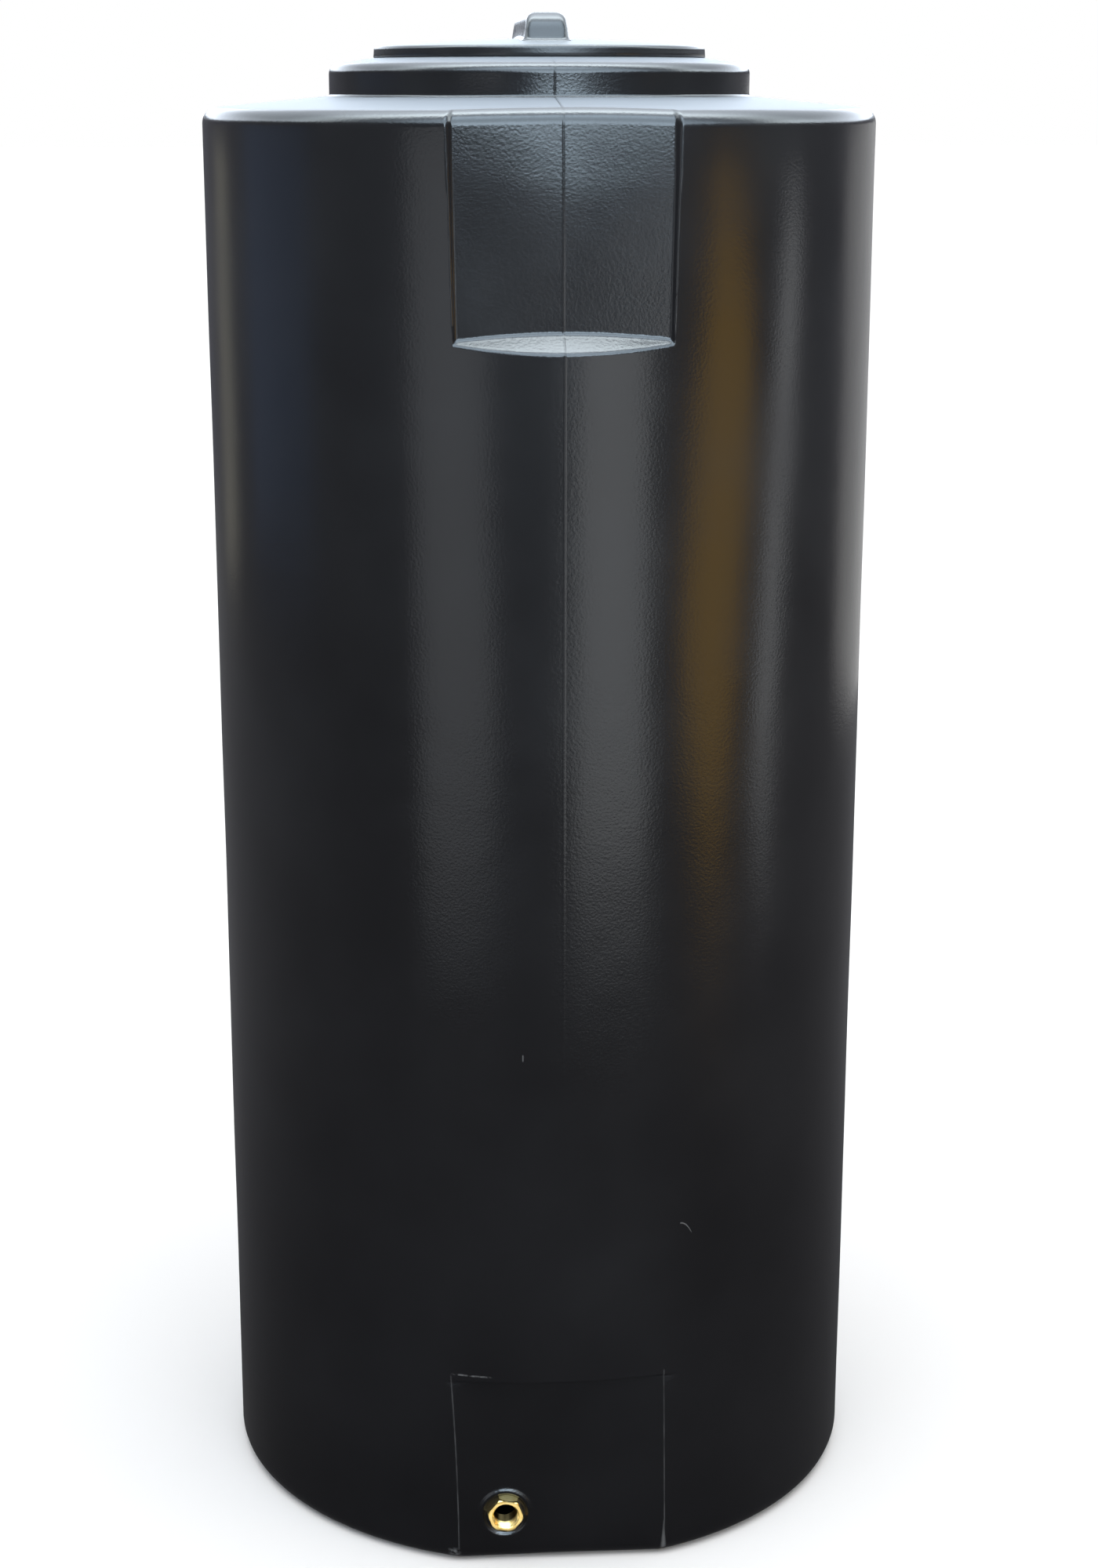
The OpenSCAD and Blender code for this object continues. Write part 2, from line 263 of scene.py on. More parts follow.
# %% Profile of the tank for every column, from the middle of the bottom up
def arc(cx, cz, r, a0, a1, n):
    turn = np.radians(np.linspace(a0, a1, n))
    return [(cx + r * math.cos(t), cz + r * math.sin(t)) for t in turn]


def slope_z(r):
    return top_z + (shoulder_end - r) * top_slope


def tank_rows(inset):
    """Rows of (radius, height) arrays, one value for each column, drawn inset deep."""
    edge, shoulder = base_edge - inset, shoulder_edge - inset
    foot = wall_radius(columns, base_edge) - inset
    rows = [(foot * t - edge * t, inset + 0 * columns) for t in (0.25, 0.6, 0.85, 0.95)]
    for dx, dz in arc(0, 0, edge, -90, 0, 9):
        rows.append((foot - edge + dx, inset + edge + dz + 0 * columns))
    # the inner skin is never seen, so it takes only every third row
    heights = wall_rows[1:] if inset == 0 else wall_rows[2::3]
    for z in heights:
        rows.append((wall_radius(columns, z) - inset, z + 0 * columns))
    crown = wall_radius(columns, top_z - shoulder_edge)
    middle_r = crown - shoulder_edge
    middle_z = slope_z(middle_r) - shoulder_edge / math.cos(top_tilt)
    for dx, dz in arc(0, 0, shoulder, 0, 90 - math.degrees(top_tilt), 11):
        rows.append((middle_r + dx, middle_z + dz))
    return rows


def neck_rows(inset, start):
    """Rows from the end of the shoulder to the edge of the lid's opening."""
    side, edge, root = neck_r - inset, neck_edge - inset, neck_root + inset
    drop = inset / math.cos(top_tilt)
    root_z = slope_z(side + root) - drop + root / math.cos(top_tilt)
    rows = []
    end_r = side + root - root * math.sin(top_tilt)
    for t in np.linspace(0.12, 1, 8):
        r = start * (1 - t) + end_r * t
        rows.append((r, slope_z(r) - drop))
    for r, z in arc(side + root, root_z, root, 262, 180, 6)[1:]:
        rows.append((r + 0 * columns, z + 0 * columns))
    for r, z in arc(neck_r - neck_edge, neck_side_z, edge, 0, 90 - math.degrees(neck_tilt), 9):
        rows.append((r + 0 * columns, z + 0 * columns))
    return rows


print("top slopes", round(math.degrees(top_tilt), 1), "degrees, neck", round(neck_r / MM), "mm")

# %% [markdown]
# ## The shell
# Outer skin, neck, collar and inner skin are one closed surface, row after
# row from the middle of the bottom, over the neck, down the collar and
# back along the inside. It is a lathe whose profile differs with the
# angle, so no boolean is needed for the flats.

# %% Join rows into one closed skin
def skin_mesh(name, rows, turn):
    """A closed surface: every row is a ring, and both ends close to a point."""
    ring = len(turn)
    r = np.array([row[0] for row in rows])
    z = np.array([row[1] for row in rows])
    points = np.stack([r * np.sin(turn), -r * np.cos(turn), z], -1).reshape(-1, 3)
    poles = [(0, 0, float(z[0].mean())), (0, 0, float(z[-1].mean()))]
    faces = []
    for k in range(len(rows) - 1):
        for j in range(ring):
            a, b = k * ring + j, k * ring + (j + 1) % ring
            faces.append((a, b, b + ring, a + ring))
    first, last, tip = len(points), len(points) + 1, (len(rows) - 1) * ring
    for j in range(ring):
        faces.append((first, (j + 1) % ring, j))
        faces.append((last, tip + j, tip + (j + 1) % ring))
    mesh = bpy.data.meshes.new(name)
    mesh.from_pydata([*points.tolist(), *poles], [], faces)
    mesh.validate()
    return mesh


def ring(r, z):
    return (r + 0 * columns, z + 0 * columns)


outer = tank_rows(0)
outer += neck_rows(0, outer[-1][0])
land_r = 150 * MM
mouth = [ring(lid_r, seat_z), ring(land_r, seat_z), ring(collar_r + 2 * MM, seat_z),
         ring(collar_r + 0.6 * MM, seat_z - 0.6 * MM), ring(collar_r, seat_z - 2 * MM)]
collar_z = seat_z - collar_h
collar = [ring(collar_r, seat_z - 20 * MM), ring(collar_r, collar_z + 1 * MM),
          ring(collar_r + 1 * MM, collar_z), ring(collar_r + collar_t - 1 * MM, collar_z),
          ring(collar_r + collar_t, collar_z + 1 * MM),
          ring(collar_r + collar_t, seat_z - wall_t - 4 * MM),
          ring(collar_r + collar_t + 4 * MM, seat_z - wall_t)]
inner = tank_rows(wall_t)
inner += neck_rows(wall_t, inner[-1][0])
print("rows outside", len(outer), "inside", len(inner))

# %% Lay the small reliefs on the outer rows
def lift_rows(rows):
    """Push each row out along the profile's own normal by the reliefs."""
    r = np.array([row[0] for row in rows])
    z = np.array([row[1] for row in rows])
    dr, dz = np.gradient(r, axis=0), np.gradient(z, axis=0)
    size = np.maximum(np.hypot(dr, dz), 1e-9)
    nr, nz = dz / size, -dr / size
    x = r * np.sin(columns)
    front = np.cos(columns) > 0
    above = ease((z - 2 * MM) / (10 * MM))
    lift = parting_ridge(x) * above
    lift = lift + np.where(front, boss_relief(x, z), 0)
    quiet = ease((lid_r + 50 * MM - r) / (20 * MM))
    lift = lift + waviness(columns, z) * above * (1 - quiet)
    lift = np.where(nr > 0.9, lift / np.maximum(np.cos(columns), 0.9) ** 0.5, lift)
    return [(r[k] + nr[k] * lift[k], z[k] + nz[k] * lift[k]) for k in range(len(rows))]


shell_rows = lift_rows(outer) + mouth + collar + inner[::-1]
shell_mesh = skin_mesh("tank_skin", shell_rows, columns)
print("tank skin faces", len(shell_mesh.polygons))

# %% [markdown]
# ## Seat for the brass
# The brass is moulded into the wall, so the plastic meets it all round.
# The hole could be left out, with the brass pushed through a whole skin,
# but then the two would overlap. So a hexagonal hole is cut through both
# skins with one small boolean, and a thick sleeve behind the wall grips the
# brass, as it does in the frame.

# %% Outline of the hexagon as a radius
def hex_radius(turn, clear=0.0):
    """Radius of the brass at a turn about its axis, measured in the plane of the flat."""
    part = np.mod(turn + hex_turn, math.pi / 3) - math.pi / 6
    return (hex_w / 2 + clear) / np.cos(part)


def tube_mesh(name, loops, turn):
    """A closed tube about the outlet's axis: loops of (radius, y), the last joined to the first."""
    ring_len = len(turn)
    points = []
    for radius, y in loops:
        r = radius + 0 * turn
        points.append(np.stack([outlet_x + r * np.cos(turn), y + 0 * turn,
                                outlet_z + r * np.sin(turn)], -1))
    faces = []
    for k in range(len(loops)):
        for j in range(ring_len):
            a, b = k * ring_len + j, k * ring_len + (j + 1) % ring_len
            c = ((k + 1) % len(loops)) * ring_len
            faces.append((a, c + j, c + (j + 1) % ring_len, b))
    mesh = bpy.data.meshes.new(name)
    mesh.from_pydata(np.concatenate(points).tolist(), [], faces)
    return mesh


print("hexagon", round(hex_w / MM), "mm across its flats")

# %% A hexagonal cutter, a hair wider than the brass
grip_gap = 0.03 * MM
brass_turn = np.radians(np.arange(0, 360, 3.0)) - hex_turn
cut_turn = np.radians(np.arange(0, 360, 60.0)) - hex_turn
corner_r = hex_w / 2 / math.cos(math.pi / 6) + grip_gap
cut_points = []
for y in (brass_front - 8 * MM, brass_front + 14 * MM):
    for t in cut_turn:
        cut_points.append((outlet_x + corner_r * math.cos(t), y, outlet_z + corner_r * math.sin(t)))
cut_faces = [tuple(range(6)), tuple(range(11, 5, -1))]
cut_faces += [(j, j + 6, (j + 1) % 6 + 6, (j + 1) % 6) for j in range(6)]
cut_mesh = bpy.data.meshes.new("hex_cut")
cut_mesh.from_pydata(cut_points, [], cut_faces)
hex_cut = bpy.data.objects.new("hex_cut", cut_mesh)
skin = bpy.data.objects.new("tank_skin", shell_mesh)
for o in (skin, hex_cut):
    bpy.context.scene.collection.objects.link(o)
print("cutter", round(2 * corner_r / MM, 2), "mm across its corners")


# %% Cut the hole and keep the result as a plain mesh
def outward(mesh):
    """Turn every face of a closed mesh to look outward."""
    bm = bmesh.new()
    bm.from_mesh(mesh)
    bmesh.ops.recalc_face_normals(bm, faces=bm.faces[:])
    bm.to_mesh(mesh)
    bm.free()


outward(shell_mesh)
outward(cut_mesh)
cut = skin.modifiers.new("hex_cut", "BOOLEAN")
cut.operation, cut.solver, cut.object = "DIFFERENCE", "EXACT", hex_cut
graph = bpy.context.evaluated_depsgraph_get()
cut_skin = bpy.data.meshes.new_from_object(skin.evaluated_get(graph))
for o in (skin, hex_cut):
    bpy.data.objects.remove(o)
print("tank skin after the cut", len(cut_skin.polygons), "faces")

# %% [markdown]
# ## Coarse threads
# The lid screws into the collar on a coarse moulded thread: one ridge of
# trapezoid section on each, climbing 20 mm in a turn. A Screw modifier
# could sweep it, but it can't thin the ridge at its ends. So the ridge is
# swept along its helix point by point, and fades out at both ends. Its root
# lies a little inside the wall that carries it.

# %% Sweep a ridge along a helix
def helix_ridge(name, r, stand, z0, root_w, crest_w):
    """A ridge from radius r: stand is positive outward, and z0 is where it starts."""
    steps = 72
    count = math.ceil(thread_turns * steps)
    sink = 1.2 * MM if stand < 0 else -1.2 * MM
    points, faces = [], []
    for i in range(count + 1):
        turn = 2 * math.pi * i / steps
        z = z0 + thread_lead * i / steps
        fade = min(1, (i + 0.5) / 6, (count - i + 0.5) / 6)
        top = r + stand * fade
        for radius, dz in ((r + sink, -root_w / 2), (top, -crest_w / 2), (top, crest_w / 2),
                           (r + sink, root_w / 2)):
            points.append((radius * math.cos(turn), radius * math.sin(turn), z + dz))
    for i in range(count):
        for j in range(4):
            a, b = 4 * i + j, 4 * i + (j + 1) % 4
            faces.append((a, b, b + 4, a + 4))
    faces += [(0, 1, 2, 3), tuple(4 * count + j for j in (3, 2, 1, 0))]
    mesh = bpy.data.meshes.new(name)
    mesh.from_pydata(points, [], faces)
    outward(mesh)
    return mesh


print("ridges climb", round(thread_lead / MM), "mm in a turn, over", thread_turns, "turns")


# %% Join meshes into one piece and put it on its body
def piece(name, meshes, body, node, smooth_angle=50):
    objects = []
    for mesh in meshes:
        o = bpy.data.objects.new(name, mesh)
        bpy.context.scene.collection.objects.link(o)
        objects.append(o)
    with bpy.context.temp_override(active_object=objects[0], selected_editable_objects=objects,
                                   selected_objects=objects):
        if len(objects) > 1:
            bpy.ops.object.join()
    o = objects[0]
    o.name = name
    o.data.polygons.foreach_set("use_smooth", [True] * len(o.data.polygons))
    o.data.set_sharp_from_angle(angle=math.radians(smooth_angle))
    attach(o, body)
    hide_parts(node)
    triangles = sum(len(p.vertices) - 2 for p in o.data.polygons)
    print(name, "has", triangles, "triangles")
    return o


# %% The tank's body: skin, sleeve behind the brass, and the collar's ridge
sleeve_r, sleeve_bore = 24 * MM, 13.6 * MM
sleeve_front, sleeve_back = 3.3 * MM - lower_y, brass_back + 2.5 * MM
grip = hex_radius(brass_turn, grip_gap)
sleeve_mesh = tube_mesh("outlet_sleeve", [
    (grip, sleeve_front), (sleeve_r, sleeve_front), (sleeve_r, sleeve_back),
    (sleeve_bore, sleeve_back), (sleeve_bore, brass_back), (grip, brass_back)], brass_turn)
outward(sleeve_mesh)
collar_ridge = helix_ridge("collar_ridge", collar_r, -thread_h, collar_z + 10 * MM,
                           ridge_root, ridge_crest)
tank = piece("tank_body", [cut_skin, sleeve_mesh, collar_ridge], "tank",
             "tank_shell")

# %% [markdown]
# ## Brass outlet
# The insert is a length of hexagonal bar, faced and bevelled on a lathe
# and tapped with a fine pipe thread. A bump could draw the thread, but
# light catches its crests in the open mouth, so it is real geometry. The
# crests run round as a helix: the radius depends on the place along the
# axis and on the turn.

# %% Turn and tap the brass insert
PITCH = 1.814 * MM
THREAD_DEEP = 1.16 * MM
fine_turn = np.radians(np.arange(0, 360, 3.75)) - hex_turn


def tapped(y, turn):
    """Radius of the bore: a rounded V that climbs one pitch in a turn."""
    phase = np.mod((y - brass_front) / PITCH - turn / (2 * math.pi), 1.0)
    groove = np.clip(1.25 * (1 - np.abs(2 * phase - 1)) - 0.1, 0, 1)
    mouth = np.clip(1.5 * MM - (y - brass_front), 0, 1.5 * MM)
    return bore_r + THREAD_DEEP * groove * ease((y - brass_front) / (1.5 * MM)) + mouth


def bevelled(y, turn):
    """Hexagonal outside with the corners bevelled by the lathe near the face."""
    limit = 16.7 * MM + 1.3 * (y - brass_front)
    return soft_low(hex_radius(turn), limit, 0.3 * MM)


print("pipe thread has", round((brass_back - brass_front) / PITCH, 1), "turns")

# %% Loops of the brass: face, outside with two key grooves, back, and the bore forward
face_in = 0.35 * MM
groove_w, groove_r = 4 * MM, hex_w / 2 - 1 * MM
sheer = 0.01 * MM
loops = [(tapped(brass_front, fine_turn), brass_front)]
loops += [(bevelled(brass_front, fine_turn) - face_in, brass_front)]
for deep in (0.12, 0.35, 0.7, 1.1, 1.6, 2.4, 5.0, 9.0):
    loops.append((bevelled(brass_front + deep * MM, fine_turn), brass_front + deep * MM))
for at in (0.36, 0.72):
    start = brass_front + at * (brass_back - brass_front)
    edge_r = bevelled(start, fine_turn)
    loops += [(edge_r, start), (groove_r + 0 * fine_turn, start + sheer),
              (groove_r + 0 * fine_turn, start + groove_w - sheer), (edge_r, start + groove_w)]
loops.append((bevelled(brass_back, fine_turn), brass_back))
bore_rows = np.arange(brass_back, brass_front, -PITCH / 8)
loops += [(tapped(y, fine_turn), y) for y in bore_rows]
brass_mesh = tube_mesh("outlet_brass", loops, fine_turn)
outward(brass_mesh)
brass = piece("outlet_brass", [brass_mesh], "tank", "outlet_insert", 28)

# %% [markdown]
# ## Seal and lid
# The seal is a flat rubber ring in a groove under the rim, and a closed
# loop of a softened rectangle makes it. The lid is a shallow dome with a
# rounded rim and a threaded skirt. A Screw modifier could turn its profile,
# but the tank's own skin function does the same and closes both ends.

# %% The seal ring
lid_turn = np.radians(np.arange(0, 360, 2.5))
seal_low, seal_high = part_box("lid_seal")
seal_r, seal_t = seal_high.x, seal_high.z - seal_low.z
seal_w = 7 * MM


def flat_ring(name, r0, r1, z0, z1, turn, soft):
    """A ring of rectangular section with softened corners."""
    loop = []
    for cx, cz, start in ((r1 - soft, z0 + soft, 270), (r1 - soft, z1 - soft, 0),
                          (r0 + soft, z1 - soft, 90), (r0 + soft, z0 + soft, 180)):
        loop += arc(cx, cz, soft, start, start + 90, 4)
    count = len(turn)
    points = [(r * math.sin(t), -r * math.cos(t), z) for r, z in loop for t in turn]
    faces = []
    for k in range(len(loop)):
        for j in range(count):
            a, b = k * count + j, k * count + (j + 1) % count
            c = ((k + 1) % len(loop)) * count
            faces.append((a, b, c + (j + 1) % count, c + j))
    mesh = bpy.data.meshes.new(name)
    mesh.from_pydata(points, [], faces)
    outward(mesh)
    return mesh


groove_in = seal_r - seal_w
seal_mesh = flat_ring("lid_seal_ring", groove_in, seal_r, seal_low.z, seal_high.z,
                      lid_turn, 0.5 * MM)
seal = piece("lid_seal_ring", [seal_mesh], "seal", "lid_seal")

# %% The dome as a formula: an arc that meets the rounded rim
rim_x, rim_z = lid_r - lid_rim, seat_z + lid_rim_t - lid_rim
dome_h = lid_rim + lid_rise
dome_r = (rim_x ** 2 + dome_h ** 2 - lid_rim ** 2) / (2 * (dome_h - lid_rim))
dome_z = rim_z + dome_h
dome_mid = dome_z - dome_r


def dome_at(r, under=0.0):
    """Height of the dome at a radius, or of its inside when under is the wall."""
    return dome_mid + np.sqrt((dome_r - under) ** 2 - r ** 2)


print("dome top at", round(dome_z / MM, 1), "mm")

# %% Profile of the lid: inside of the dome, skirt, seal's groove, rim and top
skirt_in = skirt_r - lid_wall
skirt_z = seat_z - skirt_h
soft, inner_fillet = 1 * MM, 3 * MM
under_rows = np.linspace(20 * MM, skirt_in - inner_fillet, 8)
profile = [(r, float(dome_at(r, lid_wall))) for r in under_rows]
profile += [(skirt_in, float(dome_at(skirt_in, lid_wall)) - inner_fillet)]
profile += [(skirt_in, skirt_z + soft), (skirt_in + soft, skirt_z)]
profile += [(skirt_r - soft, skirt_z), (skirt_r, skirt_z + soft)]
profile += [(skirt_r, seat_z - soft), (skirt_r + soft, seat_z), (groove_in, seat_z)]
profile += [(groove_in, seat_z + seal_t), (seal_r, seat_z + seal_t), (seal_r, seat_z)]
profile += [(lid_r - 1.1 * MM, seat_z), (lid_r - 0.4 * MM, seat_z + 0.25 * MM)]
# the rim stands nearly upright, and rolls over into the dome
rim_roll = 3.4 * MM
roll_x, roll_z = lid_r - 0.5 * MM - rim_roll, seat_z + lid_rim_t - 0.3 * MM - rim_roll
profile += [(lid_r, seat_z + soft), (lid_r - 0.3 * MM, seat_z + 4 * MM)]
profile += arc(roll_x, roll_z, rim_roll, 0, 84, 12)
profile += [(r, float(dome_at(r))) for r in rim_x * np.linspace(1.0, 0.06, 26)]
lid_rows = [(r + 0 * lid_turn, z + 0 * lid_turn) for r, z in profile]
lid_mesh = skin_mesh("lid_skin", lid_rows, lid_turn)
outward(lid_mesh)
print("lid profile has", len(profile), "points")

# %% [markdown]
# ## The bar on the lid
# The grip is moulded with the dome: a long bar with drafted sides, round
# top edges and a small hollow fillet where it leaves the dome. A bevelled
# box would cut the dome in a hard line. So it is built as rings of a
# rounded rectangle: each ring follows the dome at the foot and becomes
# level at the top.

# %% Sections of the bar
bar_top = lid_high.z
bar_foot_z = seat_z + lid_rim_t / 2
bar_half_w, bar_half_l = 23 * MM, 105 * MM
bar_fillet = 3 * MM
side_draft, side_edge = 9, 9 * MM
end_draft, end_edge = 16, 18 * MM


def bar_half(z, foot, draft, edge):
    """Half size of the bar at a height: a drafted side under a rounded edge."""
    lean = math.tan(math.radians(draft))
    up = bar_top - edge
    cx = foot - (up - bar_foot_z) * lean - edge / math.cos(math.radians(draft))
    straight = foot - (z - bar_foot_z) * lean
    rise = np.clip(z - up, 0, edge)
    curved = cx + np.sqrt(np.maximum(edge ** 2 - rise ** 2, 0))
    return np.where(z < up + edge * math.sin(math.radians(draft)), straight, curved)


def rounded_rectangle(corner_steps=7, side_steps=14):
    """Plan of a ring, without sizes: points in the corners' arcs and along the long sides."""
    plan = []
    for k, (sx, sy) in enumerate(((1, 1), (-1, 1), (-1, -1), (1, -1))):
        for t in np.radians(np.linspace(90 * k, 90 * k + 90, corner_steps)):
            plan.append(("corner", sx, sy, math.cos(t), math.sin(t)))
        if k in (1, 3):
            for t in np.linspace(0, 1, side_steps)[1:-1]:
                plan.append(("side", sx, 1 - 2 * t if k == 1 else 2 * t - 1, 0, 0))
    return plan


ring_plan = rounded_rectangle()
print("points in a ring of the bar", len(ring_plan))


# %% The bar, ring over ring, and the whole lid
def bar_ring(share, extra, corner):
    """One ring of the bar: share is 0 at the dome and 1 at the top, extra widens it."""
    points = []
    for kind, sx, sy, cx, cy in ring_plan:
        foot_z = float(dome_at(math.hypot(bar_half_w * 0.9, 0.93 * bar_half_l * sy)))
        z = foot_z + (bar_top - foot_z) * share
        w = float(bar_half(z, bar_half_w, side_draft, side_edge)) + extra
        l = float(bar_half(z, bar_half_l, end_draft, end_edge)) + extra
        if kind == "corner":
            x, y = sx * (w - corner) + corner * cx, sy * (l - corner) + corner * cy
        else:
            x, y = sx * w, sy * (l - corner)
        if share <= 0:
            z = float(dome_at(math.hypot(x, y))) + (share - 0.02) * 20 * MM
        points.append((x, y, z))
    return points


bar_high = bar_top - dome_z
# two rings under the dome's skin, the fillet, the drafted sides, then the level top
rings = [bar_ring(-0.1, bar_fillet + 1 * MM, 9 * MM), bar_ring(0, bar_fillet, 9 * MM)]
for t in np.radians((12, 30, 50, 70, 90)):
    rise, flare = bar_fillet * (1 - math.cos(t)), bar_fillet * (1 - math.sin(t))
    rings.append(bar_ring(rise / bar_high, flare, 8 * MM))
for share in (0.4, 0.6, 0.72, 0.8, 0.87, 0.92, 0.955, 0.98, 0.995, 1.0):
    rings.append(bar_ring(share, 0, 6 * MM))
for inset in (2, 5, 8):
    rings.append(bar_ring(1.0, -inset * MM, (7 - 0.6 * inset) * MM))
count = len(ring_plan)
bar_points = [p for one in rings for p in one]
bar_faces = []
for k in range(len(rings) - 1):
    for j in range(count):
        a, b = k * count + j, k * count + (j + 1) % count
        bar_faces.append((a, b, b + count, a + count))
bar_faces.append(tuple(range(count - 1, -1, -1)))
bar_faces.append(tuple((len(rings) - 1) * count + j for j in range(count)))
bar_mesh = bpy.data.meshes.new("lid_bar")
bar_mesh.from_pydata(bar_points, [], bar_faces)
bar_mesh.validate()
outward(bar_mesh)
skirt_ridge = helix_ridge("skirt_ridge", skirt_r, thread_h, skirt_z + 6 * MM,
                          ridge_root, ridge_crest)
lid = piece("screw_lid", [lid_mesh, bar_mesh, skirt_ridge], "screw_lid", "lid")

# %% [markdown]
# ## Finishes as node trees
# A finish in Blender is a tree of nodes around one shader. Trees could be
# wired by hand for each piece, but a few short helpers read better: `add`
# makes a node and sets or links its inputs, `ramp` turns a value into
# colours, and `wear` puts a finish on a piece.

# %% Short ways to build a finish
def add(tree, kind, inputs=(), **settings):
    """Add a node: an input that is a socket is linked, and any other is a plain value."""
    node = tree.nodes.new(kind)
    for name, value in settings.items():
        setattr(node, name, value)
    for name, value in dict(inputs).items():
        if isinstance(value, bpy.types.NodeSocket):
            tree.links.new(value, node.inputs[name])
        else:
            node.inputs[name].default_value = value
    return node


def new_finish(name):
    finish = bpy.data.materials.new(name)
    finish.use_nodes = True
    tree = finish.node_tree
    return finish, tree, tree.nodes["Principled BSDF"]


def ramp(tree, value, stops):
    node = add(tree, "ShaderNodeValToRGB", {"Fac": value})
    elements = node.color_ramp.elements
    while len(elements) < len(stops):
        elements.new(0.5)
    for element, (at, colour) in zip(elements, stops):
        element.position, element.color = at, (*colour, 1)
    return node.outputs["Color"]


def wear(obj, finish):
    obj.data.materials.clear()
    obj.data.materials.append(finish)
    obj.data.polygons.foreach_set("material_index", [0] * len(obj.data.polygons))


# %% [markdown]
# ## Painted highlights on the creases and feet, and scuffs
# The light lines along the lower creases and the light patches at the feet
# of the lower flat are painted highlights, where the rolled edges catch
# light. The three small scuffs on the wall are wear. They could be painted
# on an image, but that would tie them to one picture. Here each mark is a
# mask worked out from the place on the object, in metres: `near` is 1 on a
# line and fades beside it, `between` keeps one stretch of it, and a noise
# breaks it up.

# %% Helpers for masks
def calc(tree, how, a, b=0.0, c=0.0):
    return add(tree, "ShaderNodeMath", {0: a, 1: b, 2: c}, operation=how).outputs[0]


def times(tree, mask, *others):
    for other in others:
        mask = calc(tree, "MULTIPLY", mask, other)
    return mask


def near(tree, value, reach):
    """1 where a length is 0, falling softly to 0 at the reach."""
    return add(tree, "ShaderNodeMapRange", {"Value": calc(tree, "ABSOLUTE", value), "From Min": 0.0,
                                            "From Max": reach, "To Min": 1.0, "To Max": 0.0},
               interpolation_type="SMOOTHSTEP").outputs["Result"]


def between(tree, value, low, high, soft):
    """1 from low to high, easing in and out over the soft length."""
    up = add(tree, "ShaderNodeMapRange", {"Value": value, "From Min": low, "From Max": low + soft},
             interpolation_type="SMOOTHSTEP").outputs["Result"]
    down = add(tree, "ShaderNodeMapRange", {"Value": value, "From Min": high - soft,
                                            "From Max": high, "To Min": 1.0, "To Max": 0.0},
               interpolation_type="SMOOTHSTEP").outputs["Result"]
    return times(tree, up, down)


def uneven_noise(tree, place, scale, detail, low, high, least):
    """A noise that runs from least to 1 as its value goes from low to high."""
    noise = add(tree, "ShaderNodeTexNoise", {"Vector": place, "Scale": scale, "Detail": detail})
    return add(tree, "ShaderNodeMapRange", {"Value": noise.outputs["Fac"], "From Min": low,
                                            "From Max": high, "To Min": least}).outputs["Result"]


# %% Places of the marks, in x to the right and z up on the front of the tank
# places of the painted highlights on the creases and feet, and of the scuffs
right_crease_x, right_crease_lean = 103.6 * MM, -0.0155
left_crease_x, left_crease_bend = 101.1 * MM, 0.16
right_highlight_w, left_highlight_w, crease_highlight_share = 1.0 * MM, 1.1 * MM, 0.5
crease_foot_z, crease_top_z = 12 * MM, 205 * MM
right_foot_x, right_foot_w, right_foot_lean = 102.2 * MM, 5.2 * MM, -0.13
left_foot_x, left_foot_w = 105.5 * MM, 8 * MM
lip_scuff_z, lip_scuff_w = 205.2 * MM, 1.4 * MM
nick_x, nick_w = 37.9 * MM, 0.9 * MM
hook_x, hook_z, hook_w, hook_bend = 115.4 * MM, 355.5 * MM, 1.2 * MM, -95.0
# the light lines on the creases are painted highlights, where the rolled edges catch light
print("creases are rubbed from", crease_foot_z / MM, "to", crease_top_z / MM, "mm")


